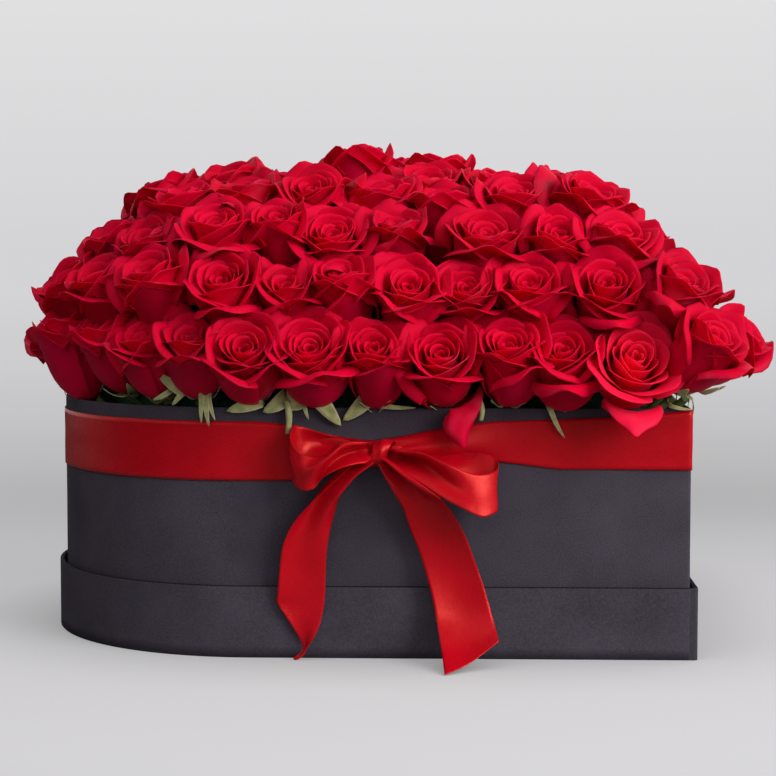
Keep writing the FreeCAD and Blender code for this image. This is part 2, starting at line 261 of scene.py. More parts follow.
def black_paper(name, gap_shade_at=None):
    """Charcoal covering paper: fine fibre grain, faint mottling, matt, with painted shade on top of its rim
    when that height is given.
    """
    paper = fresh_finish(name)
    at = paper.at()
    grain = paper.noise(at, 900, 4.0, 0.6)
    shade = paper.plus(paper.times(grain, 0.6), paper.times(paper.noise(at, 26), 0.4))
    colour = paper.mix(paper.spread(shade, 0.35, 0.65), *PAPER_TONES)
    if gap_shade_at:
        # Painted shade: the rim's top is darkened, standing in for the shadow in the gap between lid and box
        gap_shade = paper.spread(paper.part(at, 2), gap_shade_at - RIM_ROUND, gap_shade_at - 0.2 * RIM_ROUND)
        colour = paper.mix(gap_shade, colour, PAPER_GAP_SHADE)
    rough = paper.spread(grain, 0.3, 0.7, 0.62, 0.78)
    return paper.made(colour, rough, (grain, 0.3, 0.0004), {"Specular IOR Level": 0.06})


def pressed_board(name, tones):
    """Pressed board: flecked pulp."""
    board = fresh_finish(name)
    fleck = board.noise(board.at(), 420, 5.0, 0.65)
    return board.made(board.mix(board.spread(fleck, 0.35, 0.68), *tones), 0.85, (fleck, 0.3, 0.0003))


def satin_ribbon():
    """Deep red satin: fine warp threads along the ribbon, soft sheen, denser woven edges."""
    satin = fresh_finish("satin_ribbon")
    uv = satin.uv("weave")
    threads = satin.streaks(uv, (150, 8, 1), 2.0)
    weft = satin.streaks(uv, (60, 90, 1), 2.0)
    cloudy = satin.noise(satin.at(), 45, 2.0)
    shade = satin.plus(satin.times(threads, 0.5), satin.times(cloudy, 0.5))
    body = satin.mix(satin.spread(shade, 0.3, 0.7), *SATIN_TONES)
    edge = satin.spread(satin.off_middle(satin.part(uv, 0)), 0.465, 0.495)
    rough = satin.spread(threads, 0.2, 0.8, 0.24, 0.35)
    weave = satin.plus(threads, satin.times(weft, 0.5))
    return satin.made(satin.mix(edge, body, SATIN_EDGE), rough, (weave, 0.3, 0.0003), {
        "Metallic": 0.17, "Specular IOR Level": 0.42, "Specular Tint": SATIN_GLOSS, "Anisotropic": 0.5,
    })


def rose_petal():
    """Velvety petals: veins fanning up to the margin, each bloom with its own tone, darker plum margins. A
    tone past 1 is painted light; the outer faces' pinker patches are partly painted sheen.
    """
    petal = fresh_finish("rose_petal")
    uv = petal.uv("petal")
    tone = petal.add("Attribute", attribute_name="bloom_tone_and_light").outputs["Fac"]
    plum = petal.add("Attribute", attribute_name="bloom_plum").outputs["Fac"]
    veins = petal.streaks(uv, (46, 2.4, 1))
    blotch = petal.noise(petal.at(), 120)
    light = petal.plus(tone, petal.times(petal.minus(blotch, 0.5), 0.6))
    light = petal.plus(light, petal.times(petal.minus(veins, 0.5), 0.25))
    colour = petal.mix(petal.plus(light, 0.0, True), *PETAL_TONES)
    # Painted light: a tone past 1 paints a bloom brighter than any bloom's own colour, for the light on its
    # face
    colour = petal.mix(petal.spread(tone, 1.0, 1.5), colour, PETAL_PAINTED_LIGHT)
    margin = petal.spread(petal.part(uv, 1), 0.86, 1.0)
    stain = petal.times(margin, petal.times(plum, petal.spread(blotch, 0.35, 0.65)))
    colour = petal.mix(stain, colour, PETAL_STAIN)
    # Pinker patches on the outer faces: partly their own paler colour, partly painted sheen standing in for
    # their gloss
    outer = petal.spread(petal.part(uv, 0), 1.4, 1.6)
    blush_and_sheen_noise = petal.noise(petal.at(), 38, 2.0)
    blush_and_sheen = petal.times(outer, petal.spread(blush_and_sheen_noise, 0.58, 0.78, 0.0, 0.55))
    velvet = petal.spread(veins, 0.3, 0.7, 0.52, 0.66)
    rough = petal.minus(velvet, petal.times(outer, 0.16))
    return petal.made(petal.mix(blush_and_sheen, colour, PETAL_BLUSH_AND_SHEEN), rough, (veins, 0.18, 0.0004), {
        "Specular IOR Level": 0.15, "Specular Tint": PETAL_GLOSS,
        "Subsurface Weight": 0.35, "Subsurface Radius": (1.0, 0.06, 0.10), "Subsurface Scale": 0.004,
        "Sheen Weight": 0.08, "Sheen Roughness": 0.45, "Sheen Tint": PETAL_DOWN,
    })


def leaf_green(name, tones, uv_name=None):
    """Sepal and stem green: long fibres, pale margins where a sepal map gives them."""
    leaf = fresh_finish(name)
    height = leaf.noise(leaf.at(), 160, 4.0)
    colour = leaf.mix(leaf.spread(height, 0.3, 0.7), *tones)
    if uv_name:
        uv = leaf.uv(uv_name)
        height = leaf.streaks(uv, (22, 2, 1))
        margin = leaf.spread(leaf.off_middle(leaf.part(uv, 0)), 0.36, 0.5)
        colour = leaf.mix(leaf.times(margin, 0.7), colour, SEPAL_MARGIN)
    return leaf.made(colour, 0.6, (height, 0.3, 0.0004), {"Specular IOR Level": 0.3})


def floral_foam():
    """Open-cell green foam: powdery, pitted."""
    foam = fresh_finish("floral_foam")
    at = foam.at()
    cells = foam.add("TexVoronoi", {"Vector": at, "Scale": 700}).outputs[0]
    colour = foam.mix(foam.spread(foam.noise(at, 18), 0.3, 0.7), *FOAM_TONES)
    return foam.made(colour, 0.95, (cells, 0.6, 0.0008), {"Specular IOR Level": 0.1})


def clear_film():
    """Thin waterproof film, creased."""
    film = fresh_finish("clear_film")
    folds = film.streaks(film.at(), (1, 1, 0.4), 1.5, 22)
    crease = film.spread(film.off_middle(folds), 0.0, 0.10, 1.0, 0.0)
    alpha = film.spread(crease, 0.0, 1.0, 0.07, 0.17)
    return film.made(film.mix(crease, *FILM_TONES), 0.14, (folds, 0.5, 0.004), {"Alpha": alpha})


PAPER_BLACK = black_paper("black_paper")
PAPER_LID = black_paper("lid_paper", LID_HIGH[2])
BOARD_GREY = pressed_board("grey_board", BOARD_TONES)
BOARD_LINED = pressed_board("lined_board", LINED_TONES)
RIBBON_RED = satin_ribbon()
PETAL_RED = rose_petal()
SEPAL_GREEN = leaf_green("sepal_green", SEPAL_TONES, "sepal")
STEM_GREEN = leaf_green("stem_green", STEM_TONES)
FOAM_GREEN = floral_foam()
FILM_CLEAR = clear_film()

# Finish of the CAD nodes that stay in view, by how their names start
NODE_FINISH = {
    "lid_panel": BOARD_LINED, "lid_rim": BOARD_LINED, "box_base": BOARD_GREY, "box_wall": BOARD_GREY,
    "box_lining": PAPER_BLACK, "film_liner": FILM_CLEAR, "foam": FOAM_GREEN, "rose_stems": STEM_GREEN,
}


def finish_nodes():
    for name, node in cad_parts.items():
        for start, finish in NODE_FINISH.items():
            if name.startswith(start):
                node.data.materials.clear()
                node.data.materials.append(finish)


# Heart-shaped paper

FRONT_STEPS, LOBE_STEPS, BRIDGE_STEPS, TIP_STEPS = 56, 64, 20, 4


def heart_walk(grow, bridged=False):
    """(point, outward direction) pairs round the heart from its tip: front, left lobe, back lobe, right side,
    tip. The heart is the box's outside, grown all round. A bridged walk goes straight across the cleft."""
    reach, radius, tip = REACH + grow, 2 * QUARTER + grow, TIP_ROUND + max(0.0, grow)
    left, back = Vector((-QUARTER, -QUARTER)), Vector((QUARTER, QUARTER))
    left_end = back_start = 0.75 * pi
    if not bridged:
        meet = sqrt(0.5 * (radius ** 2 - 2 * QUARTER ** 2))
        left_end = atan2(meet + QUARTER, QUARTER - meet)
        back_start = atan2(meet - QUARTER, -meet - QUARTER)
    walk = []

    def run(start, end, out, steps):
        for k in range(steps):
            walk.append((Vector(start).lerp(Vector(end), k / steps), Vector(out)))

    def turn(centre, size, first, last, steps):
        for k in range(steps):
            angle = first + (last - first) * k / steps
            out = Vector((cos(angle), sin(angle)))
            walk.append((centre + size * out, out))

    run((reach - tip, -reach), (-QUARTER, -reach), (0, -1), FRONT_STEPS)
    turn(left, radius, 1.5 * pi, left_end, LOBE_STEPS)
    if bridged:
        out = Vector((-1, 1)).normalized()
        run(left + radius * out, back + radius * out, out, BRIDGE_STEPS)
    turn(back, radius, back_start, 0, LOBE_STEPS)
    run((reach, QUARTER), (reach, -reach + tip), (1, 0), FRONT_STEPS)
    turn(Vector((reach - tip, -reach + tip)), tip, 0, -0.5 * pi, TIP_STEPS)
    return walk


def rounded_rim(outer, inner, top):
    """(grow, height) points over a paper-covered rim with its two edges softened."""
    turns = [0.5 * pi * k / 4 for k in range(5)]
    points = [(outer - RIM_ROUND * (1 - cos(a)), top - RIM_ROUND * (1 - sin(a))) for a in turns]
    points += [(inner + RIM_ROUND * (1 - sin(a)), top - RIM_ROUND * (1 - cos(a))) for a in turns]
    return points


def paper_cover(body, paper, grow, foot, rim, steps, fold_to):
    """Covering paper of the box or lid: up from its foot, over the rim, down inside to a height."""
    straight = rim - RIM_ROUND - 1 * MM - foot
    profile = [(grow, foot + straight * k / steps) for k in range(steps + 1)]
    profile += rounded_rim(grow, grow - WALL, rim)
    profile.append((grow - WALL, fold_to))
    walks = [heart_walk(outside) for outside, _ in profile]
    count = len(walks[0])
    bm = bmesh.new()

    def place(across, along):
        k = round((1 - across) * count) % count
        row = round(along * (len(profile) - 1))
        point, out = walks[row][k]
        height = profile[row][1]
        slack = PAPER_SLACK * noise.noise(Vector((point.x * 30, point.y * 30, height * 40)))
        point = point + out * slack
        return Vector((point.x, point.y, height))

    shaped_grid(bm, count, len(profile) - 1, place)
    weld(bm)
    keep_piece(body + "_cover_paper", bm, body, paper, body + "_wrap", PAPER, -1)


def make_papers():
    paper_cover("box", PAPER_BLACK, 0.0, BOX_LOW[2], BOX_HIGH[2], 14, BOX_HIGH[2] - BOX_FOLD)
    paper_cover("lid", PAPER_LID, LID_GROW, LID_LOW[2], LID_HIGH[2], 6, LID_LOW[2] + LID_FOLD_UP)


# Ribbon and bow

BAND_FRONT_LOW = (
    (-70, 112.5), (-40, 112.8), (-10, 119), (6, 125), (24, 126), (60, 127), (88, 125), (102, 123.6),
    (127, 120.4), (210, 120.1),
)
BAND_FRONT_HIGH = (
    (-70, 150.3), (-60, 150), (-37, 147.6), (-20, 142.6), (-10, 140.7), (6, 138.4), (22, 140.3), (32, 142),
    (43, 144.4), (55, 146.4), (72, 149.4), (90, 150.9), (127, 152.0), (160, 153.5), (210, 158),
)
BAND_PLEAT = 1.3
BAND_PLEAT_REACH = 26.0
BAND_SWELL = 6.5
BAND_SWELL_X = 44.0
BAND_SWELL_REACH = 32.0
# Share of the width, from the lower edge, at which the swell stands proudest
BAND_SWELL_CREST = 0.38
# How far the band runs level past the front, and over what length it then rises, in metres
BAND_LEVEL, BAND_RISE = 0.55, 0.55
BAND_ROWS = 12
BAND_WAVER = 0.25
EDGE_TOOTH = 0.12
FAR_FROM_KNOT = -400.0


def make_band():
    """Ribbon round the box: level round the lobes, rising to the heart's tip, drawn in at the knot."""
    coarse = heart_walk(RIBBON_OFF, bridged=True)
    walk = []
    for (a, out_a), (b, out_b) in zip(coarse, coarse[1:] + coarse[:1]):
        for share in (0.0, 0.5):
            walk.append((a.lerp(b, share), out_a.lerp(out_b, share).normalized()))
    count = len(walk)
    lengths = [0.0]
    for (a, _), (b, _) in zip(walk, walk[1:] + walk[:1]):
        lengths.append(lengths[-1] + (b - a).length)
    front_end = next(k for k in range(count) if walk[k][0].x <= -QUARTER + 1e-6)
    bm = bmesh.new()

    def edge_height(points, k, x):
        if k <= front_end:
            return height_at(points, x)
        share = smooth_step((lengths[k] - lengths[front_end] - BAND_LEVEL) / BAND_RISE)
        return points[0][1] + (points[-1][1] - points[0][1]) * share

    def place(across, along):
        k = round((1 - along) * count) % count
        point, out = walk[k]
        x = point.x / MM if k <= front_end else FAR_FROM_KNOT
        low, high = edge_height(BAND_FRONT_LOW, k, x), edge_height(BAND_FRONT_HIGH, k, x)
        off = BAND_PLEAT * bell(x, KNOT_X, BAND_PLEAT_REACH) * (1 + sin(5 * pi * across + 0.9))
        crest = min(across / BAND_SWELL_CREST, (1 - across) / (1 - BAND_SWELL_CREST))
        off += BAND_SWELL * bell(x, BAND_SWELL_X, BAND_SWELL_REACH) * sin(0.5 * pi * crest) ** 1.3
        off += BAND_WAVER * (1 + noise.noise(Vector((point.x * 25, point.y * 25, across * 3))))
        z = low + (high - low) * across
        if across in (0.0, 1.0):
            z += EDGE_TOOTH * (1 if k % 2 else -1)
        point = point + out * off * MM
        return Vector((point.x, point.y, z * MM))

    shaped_grid(bm, BAND_ROWS, count, place, "weave")
    weld(bm)
    ribbon_piece(bm, "ribbon_band", (RIBBON_WIDTH, lengths[-1]), "gathered")


def ribbon_piece(bm, node, flat, held):
    """Finishes a strip of ribbon: its map in ribbon widths, scaled by its cut size (width, length), and its
    thickness.
    """
    uv = bm.loops.layers.uv["weave"]
    for face in bm.faces:
        for loop in face.loops:
            loop[uv].uv.y *= flat[1] / RIBBON_WIDTH
    piece = keep_piece(node + "_satin", bm, "box", RIBBON_RED, node, RIBBON_THICK)


LOOP_LEFT = (
    ((13, -219, 128.5), (13, -219, 134.5)),
    ((5, -227.5, 125.8), (5.5, -226.5, 138.5)),
    ((-3, -233, 125.8), (-1, -231, 139.7)),
    ((-13, -238, 122.5), (-10, -234, 139)),
    ((-22, -241, 116.5), (-19, -237, 132.5)),
    ((-28.5, -240, 110.5), (-30, -236, 131)),
    ((-35, -235, 109.5), (-37.5, -233, 134.5)),
    ((-40, -229, 113), (-42, -229, 142)),
    ((-41, -222, 115), (-40.5, -223, 148)),
    ((-35, -216.5, 114), (-36, -217, 148)),
    ((-20, -214.2, 118), (-20, -215, 142.5)),
    ((-6, -214, 123), (-8, -214.5, 140)),
    ((8, -216, 126), (8, -216, 137.5)),
)
LOOP_RIGHT = (
    ((15, -219, 128), (15.5, -219, 134.5)),
    ((23, -223, 123.5), (24, -225, 136)),
    ((32, -226, 120.5), (33, -228.5, 135)),
    ((44, -231.5, 113.5), (43, -233, 133.8)),
    ((55, -240, 106), (54, -237.5, 128)),
    ((67, -248, 99.5), (66, -239, 122)),
    ((78, -249, 95), (79, -236, 120)),
    ((86.5, -241, 97), (87.5, -227.5, 122.5)),
    ((85.5, -231, 97), (86, -220, 129)),
    ((74, -222.5, 98), (76, -218, 132)),
    ((57, -218, 106.5), (58, -216, 133)),
    ((38, -216, 117.5), (40, -215.5, 134)),
    ((20, -217, 126.5), (21, -217, 136)),
)
TAIL_LEFT = (
    ((8, -225, 131), (10, -224, 125)),
    ((-5, -229, 124.4), (0.5, -225, 119.5)),
    ((-14.4, -231, 116.5), (-4.5, -225, 113.5)),
    ((-22.6, -231, 109), (-9, -224, 106)),
    ((-30, -229, 101), (-12.3, -222, 98)),
    ((-40, -226, 88), (-17, -220, 82)),
    ((-46.5, -224, 74), (-19.5, -218.5, 68)),
    ((-49, -222, 58), (-20.2, -217.5, 54)),
    ((-50.4, -220.5, 42), (-20.6, -218, 41)),
    ((-50.7, -219.5, 36), (-22, -219, 30)),
    ((-45.5, -219, 27.5), (-24.3, -221, 21)),
    ((-39.5, -218.5, 18), (-28, -223, 13.5)),
    ((-35.5, -218, 10.5), (-32.5, -223.5, 7.5)),
    ((-35.2, -219, 5.5), (-35, -223, 4)),
    ((-40.5, -222, 1.3), (-40, -223, 0.6)),
)
# From this pair on, the left edge is the slanting cut
TAIL_LEFT_CUT = 10
TAIL_RIGHT = (
    ((16, -225, 125), (20.4, -228, 129.5)),
    ((19, -228, 119), (28.6, -235, 125)),
    ((22.6, -229, 113), (37, -239.5, 119)),
    ((25.5, -228, 106), (46, -243, 112)),
    ((28.5, -226, 98), (53.6, -242, 104.4)),
    ((32.4, -223.5, 86), (60.8, -236, 94.2)),
    ((38.8, -222, 70), (67.8, -230, 80.6)),
    ((43.6, -224, 54.8), (73.7, -228, 65)),
    ((47.6, -228, 40), (79, -228, 50)),
    ((50.4, -235, 25.5), (83, -229.5, 36.5)),
    ((53.3, -249, 11.5), (86.4, -234.5, 25)),
    ((55.2, -267, 0.8), (88.6, -243.5, 17)),
)
LOOP_STEPS, TAIL_STEPS, STRIP_COLUMNS = 96, 110, 20
TOWARDS, AWAY = 1, -1
# The ends of the ribbon lie on the table, not in it
TABLE_CLEAR = 0.4


def pleat_height(chord, pleats, kept):
    """Half height of the pleats that gather a share of the ribbon's width onto a chord, in millimetres."""
    gather = max(1.0, kept * RIBBON_WIDTH / MM / chord)
    return sqrt((gather ** 2 - 1) / 0.45) * chord / (tau * pleats)


def ribbon_strip(bm, stations, steps, wave):
    """Strip between two smooth edges. wave(across, along, chord) pushes it off its plane, in millimetres."""
    lower = [a for a, _ in stations]
    upper = [b for _, b in stations]

    def on_strip(across, along):
        return along_points(lower, along).lerp(along_points(upper, along), across)

    def place(across, along):
        step = 0.004
        ahead = on_strip(across, min(1.0, along + step)) - on_strip(across, max(0.0, along - step))
        width = along_points(upper, along) - along_points(lower, along)
        out = ahead.cross(width)
        out = out.normalized() if out.length > 1e-9 else Vector((0, -1, 0))
        point = on_strip(across, along) + out * wave(across, along, width.length)
        point.z = max(point.z, TABLE_CLEAR)
        return point * MM

    shaped_grid(bm, STRIP_COLUMNS, steps, place, "weave")


def curve_length(through):
    """Length of the smooth curve through some points, in metres."""
    points = [along_points(through, k / 200) for k in range(201)]
    return sum((b - a).length for a, b in zip(points, points[1:])) * MM


def crease_wave(crease, fullness, pleats, kept, facing):
    """Pleats of a loop, with one deep crease that runs along (along, across) points. They are squeezed flat
    in the knot and open out at the loop's fold, as (along, fullness) points give."""
    def wave(across, along, chord):
        valley = height_at(crease, along)
        squeezed = smooth_step((min(along, 1 - along) - 0.02) / 0.1)
        height = height_at(fullness, along) * squeezed * pleat_height(chord, pleats, kept)
        return -facing * height * cos(tau * pleats * (across - valley))
    return wave


def tail_wave(valley, pleats, kept, camber, end_camber):
    """Pleats under the knot that open out down a tail, and the tail's camber, which changes at its end."""
    def wave(across, along, chord):
        gathered = 1 - smooth_step((along - 0.2) / 0.35)
        pleat = gathered * pleat_height(chord, pleats, kept)
        pleat *= cos(tau * pleats * (across - valley))
        bend = camber + (end_camber - camber) * smooth_step((along - 0.7) / 0.3)
        return bend * sin(pi * across) * smooth_step(3 * along) - pleat
    return wave


LEFT_CREASE = ((0.0, 0.86), (0.12, 0.52), (0.2, 0.45), (0.28, 0.32), (0.37, 0.12), (0.5, 0.0), (1.0, 0.5))
RIGHT_CREASE = ((0.0, 0.4), (0.2, 0.48), (0.35, 0.5), (0.5, 0.6), (1.0, 0.5))
LEFT_FULLNESS = (
    (0.0, 1.0), (0.3, 1.0), (0.38, 0.6), (0.46, 0.1), (0.58, 0.1), (0.66, 0.5), (0.76, 1.0), (1.0, 1.0),
)
RIGHT_FULLNESS = (
    (0.0, 1.0), (0.14, 0.9), (0.24, 0.7), (0.36, 0.5), (0.46, 0.1), (0.64, 0.1), (0.72, 0.6), (0.8, 1.1),
    (1.0, 1.1),
)


def make_bow():
    loop_left = crease_wave(LEFT_CREASE, LEFT_FULLNESS, pleats=1.1, kept=0.88, facing=AWAY)
    loop_right = crease_wave(RIGHT_CREASE, RIGHT_FULLNESS, pleats=1.0, kept=0.92, facing=TOWARDS)
    tail_left = tail_wave(valley=0.3, pleats=1.2, kept=0.8, camber=-2.0, end_camber=-2.0)
    tail_right = tail_wave(valley=0.35, pleats=1.0, kept=0.8, camber=-2.4, end_camber=-3.4)
    strips = (
        ("bow_loop_left", LOOP_LEFT, LOOP_STEPS, loop_left, "gathered"),
        ("bow_loop_right", LOOP_RIGHT, LOOP_STEPS, loop_right, "gathered"),
        ("bow_tail_left", TAIL_LEFT, TAIL_STEPS, tail_left, "hung"),
        ("bow_tail_right", TAIL_RIGHT, TAIL_STEPS, tail_right, "hung"),
    )
    for node, stations, steps, wave, held in strips:
        bm = bmesh.new()
        ribbon_strip(bm, stations, steps, wave)
        if stations is TAIL_LEFT:
            short_edge = curve_length([a for a, _ in stations[:TAIL_LEFT_CUT]])
            long_edge = curve_length([b for _, b in stations])
        length = curve_length([(Vector(a) + Vector(b)) / 2 for a, b in stations])
        ribbon_piece(bm, node, (RIBBON_WIDTH, length), held)


KNOT_MIDDLE = (14.2, -220.5, 131.5)
KNOT_TALL, KNOT_DEEP, KNOT_HALF = 8.2, 9.0, 7.2
KNOT_CREASE, KNOT_TILT = 0.45, 0.14
KNOT_STEPS, KNOT_COLUMNS = 72, 16


def make_knot():
    """Turn of ribbon round the gathered middle, creased and drawn in at its sides."""
    middle = Vector(KNOT_MIDDLE)
    bm = bmesh.new()

    def place(across, along):
        side = 2 * across - 1
        angle = tau * along
        swell = 1 - 0.26 * abs(side) ** 2.2
        crease = KNOT_CREASE * cos(3.2 * pi * across + 0.8 * sin(angle))
        crease *= 0.6 + 0.4 * cos(angle)
        slant = 1.6 * sin(angle) - 1.0 * cos(angle) * side
        x = side * KNOT_HALF * (1 - 0.12 * cos(angle)) + slant
        y = -(KNOT_DEEP * swell + crease) * cos(angle)
        z = (KNOT_TALL * swell + crease) * sin(angle)
        return (middle + Vector((x, y, z + KNOT_TILT * x))) * MM

    shaped_grid(bm, KNOT_COLUMNS, KNOT_STEPS, place, "weave")
    weld(bm)
    bmesh.ops.recalc_face_normals(bm, faces=bm.faces[:])
    around = tau * sqrt((KNOT_TALL ** 2 + KNOT_DEEP ** 2) / 2) * MM
    ribbon_piece(bm, "bow_knot", (2 * KNOT_HALF * MM, around), "gathered")


# Roses

GOLDEN_TURN = radians(137.508)
PETAL_THICK = 0.4 * MM
# Added to the map of a petal's outer face, so that its finish can differ from the inner one's
OUTER_FACE = 2.0
# Share of its length where a petal starts to lean outwards, and over which it does so: for most of them, and
# for one that folds over and hangs
LEAN_BEND, FOLD_BEND = (0.45, 0.55), (0.46, 0.20)
PETAL_BASE_R = 3.2
PETAL_BASE_Z = -27.5
CUP_SHARE, CUP_POWER, CUP_STEPS = 0.58, 1.25, 24
STEM_TO_BLOOM = 34.3 * MM
STEM_LONG = 44 * MM
# Columns and rows of the heart's, the middle and the outer petals
SMALL, MIDDLE, LARGE = (10, 6), (12, 9), (15, 13)
BLOOMS_IN_PIECE = 14
# What a style has where its own entry says nothing, and what petals that don't droop have
PLAIN = dict(droops=0, droop=0, opening=4, droop_wide=1.0, droop_long=1.0, bend=LEAN_BEND, sweep=0.0)
BLOOM_STYLES = {
    "half_open": dict(petals=22, radius=18.5, heart_top=14, rim_top=19.5, lean=15, curl=105, tip=0.6),
    "bud": dict(petals=18, radius=16.5, heart_top=18, rim_top=20.5, lean=6, curl=115, tip=0.8),
    "cupped": dict(petals=25, radius=19.0, heart_top=12, rim_top=19.0, lean=8, curl=80, tip=0.45),
    "open": dict(petals=26, radius=19.5, heart_top=11, rim_top=17, lean=34, curl=90, tip=0.5,
                 droops=1, droop=15),
    "drooping": dict(petals=22, radius=18.5, heart_top=13, rim_top=18.5, lean=14, curl=95, tip=0.6,
                     droops=1, droop=56, droop_wide=0.8),
    "blown": dict(petals=21, radius=18.5, heart_top=13, rim_top=17.5, lean=26, curl=120, tip=0.75,
                  droops=2, droop=24),
    "wide": dict(petals=21, radius=20.5, heart_top=13, rim_top=13, lean=62, opening=1.7, curl=30, tip=0.9,
                 droops=2, droop=40, droop_wide=0.62),
    "folded": dict(petals=17, radius=18.0, heart_top=13, rim_top=20, lean=12, curl=150, tip=0.95,
                   droops=2, droop=10),
}
BLOOM_STYLES["strap"] = dict(
    BLOOM_STYLES["drooping"], droop=122, droop_wide=0.48, droop_long=0.85, bend=FOLD_BEND, sweep=-34,
)
# Blooms made of each style, and the seeds: of the styles, and of the draws for the blooms and sepals
VARIANTS = 4
STYLE_SEED, BLOOM_SEED, SEPAL_SEED = 100, 41, 7


def cup_angle(first, s):
    return first * max(0.0, 1 - s / CUP_SHARE) ** CUP_POWER


def first_angle(radius, length):
    """Outward angle at a petal's base for which its cup swells to the radius."""
    low, high = 0.0, radians(110)
    for _ in range(CUP_STEPS):
        middle = (low + high) / 2
        steps = (CUP_SHARE * (i + 0.5) / CUP_STEPS for i in range(CUP_STEPS))
        reach = sum(sin(cup_angle(middle, s)) for s in steps)
        if PETAL_BASE_R + reach * length * CUP_SHARE / CUP_STEPS < radius:
            low = middle
        else:
            high = middle
    return (low + high) / 2


def petal_line(petal, first, u, rows):
    """(radius, cup radius, height, arc share) points up one line of a petal, from its base to its margin."""
    share = 1 - petal["drop"] * abs(u) ** 2.4 + petal["point"] * bell(u, 0.0, 0.18)
    rolled_off = 1 - petal["tip"] * (1 - smooth_step(abs(u) / 0.65))
    curl = petal["curl"] * rolled_off * (1 + petal["side_curl"] * abs(u) ** 1.5)
    start = petal["curl_from"]
    bend, bend_over = petal["bend"]
    r, cup_r, z = PETAL_BASE_R, PETAL_BASE_R, PETAL_BASE_Z
    line = [(r, cup_r, z, 0.0)]
    fine = 6
    for row in range(rows):
        for k in range(fine):
            t0, t, t1 = (1 - (1 - (row + (k + half) / fine) / rows) ** 1.5 for half in (0.0, 0.5, 1.0))
            step = petal["length"] * share * (t1 - t0)
            s = t * share
            angle = cup_angle(first, s) + petal["lean"] * smooth_step((s - bend) / bend_over)
            rolled = angle + curl * smooth_step((t - start) / (1 - start))
            cup_r += step * sin(angle)
            r += step * sin(rolled)
            z += step * cos(rolled)
        line.append((r, cup_r, z, t1 * share))
    return line


def add_petal(bm, petal, rng):
    columns, rows = petal["grid"]
    first = first_angle(petal["radius"], petal["length"])
    bend, bend_over = petal["bend"]
    lines = {}
    wave = rng.uniform(0, tau)

    def place(across, along):
        u = 2 * across - 1
        if across not in lines:
            lines[across] = petal_line(petal, first, u, rows)
        r, cup_r, z, s = lines[across][round(along * rows)]
        width = 0.34 + 0.66 * sin(min(1.0, s / 0.62) * pi / 2) ** 1.2
        swing = u * petal["half_width"] * width / max(cup_r, 1.2)
        swing = petal["wrap"] * tanh(swing / petal["wrap"])
        r += petal["spiral"] * u * (0.3 + 0.7 * along)
        r += petal["ripple"] * sin(2.6 * pi * u + wave) * along ** 3
        z += petal["ripple"] * 0.7 * sin(3.3 * pi * u + 1.7 * wave) * along ** 3
        swept = petal["sweep"] * smooth_step((s - bend) / bend_over / 2)
        return round_at(petal["turn"] + swing + swept, r, z) * MM

    shaped_grid(bm, columns, rows, place, "petal")


def bloom_petals(style, rng):
    """The petals of one bloom, from the rolled heart to the outermost."""
    style = {**PLAIN, **style}
    petals = []
    turn = rng.uniform(0, tau)
    for i in range(style["petals"]):
        f = i / (style["petals"] - 1)
        turn += GOLDEN_TURN + rng.uniform(-0.3, 0.3)
        radius = 1.5 + (style["radius"] - 1.5) * f ** 0.85
        top = style["heart_top"] + (style["rim_top"] - style["heart_top"]) * f ** 0.8
        lean = style["lean"] * f ** style["opening"] - 4 * (1 - f) * min(1, 4 * f)
        hung = PLAIN
        if i >= style["petals"] - style["droops"]:
            lean += style["droop"] * rng.uniform(0.8, 1.1)
            hung = style
        length = hung["droop_long"] * (top - PETAL_BASE_Z + 0.62 * max(0, radius - 4))
        half_width = hung["droop_wide"] * (2 + radius * radians(125 - 58 * f))
        petals.append({
            "turn": turn,
            "radius": radius * rng.uniform(0.97, 1.03),
            "length": length * rng.uniform(0.97, 1.03),
            "half_width": half_width * rng.uniform(0.9, 1.1),
            "lean": radians(lean + 6 * f * rng.uniform(-1, 1)),
            "bend": hung["bend"],
            "sweep": radians(hung["sweep"]),
            "curl": radians(style["curl"] * f ** 1.3 * rng.uniform(0.6, 1.25)),
            "curl_from": rng.uniform(0.70, 0.85),
            "side_curl": rng.uniform(0.0, 0.5),
            "tip": style["tip"] * f * rng.uniform(0.6, 1.2),
            "drop": rng.uniform(0.18, 0.32),
            "point": rng.uniform(0.0, 0.07) * f,
            "spiral": rng.uniform(0.5, 1.0) * (0.5 + f),
            "ripple": (0.12 + 0.38 * f) * rng.uniform(0.5, 1.5),
            "wrap": radians(165 - 60 * f),
            "grid": SMALL if f < 0.35 else MIDDLE if f < 0.7 else LARGE,
        })
    return petals


def shift_map(bm, faces, by):
    uv = bm.loops.layers.uv["petal"]
    for face in faces:
        for loop in face.loops:
            loop[uv].uv.x += by


def make_bloom(style, seed):
    """Mesh of one bloom about its own axis, and the angle at which its outermost petal stands."""
    rng = random.Random(seed)
    bm = bmesh.new()
    petals = bloom_petals(style, rng)
    for petal in petals:
        add_petal(bm, petal, rng)
    shift_map(bm, bm.faces, OUTER_FACE)
    inner = bmesh.ops.solidify(bm, geom=bm.faces[:], thickness=PETAL_THICK)["geom"]
    shift_map(bm, [face for face in inner if isinstance(face, bmesh.types.BMFace)], -OUTER_FACE)
    mesh = bpy.data.meshes.new("bloom")
    bm.to_mesh(mesh)
    bm.free()
    return mesh, petals[-1]["turn"]


def islands(node):
    """Groups of joined vertices in a merged copy of a CAD node."""
    bm = bmesh.new()
    bm.from_mesh(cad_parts[node].data)
    weld(bm)
    left = set(bm.verts)
    groups = []
    for seed in bm.verts:
        if seed not in left:
            continue
        left.discard(seed)
        group, edge = [], [seed]
        while edge:
            v = edge.pop()
            group.append(v.co.copy())
            for link in v.link_edges:
                other = link.other_vert(v)
                if other in left:
                    left.discard(other)
                    edge.append(other)
        groups.append(group)
    bm.free()
    return groups


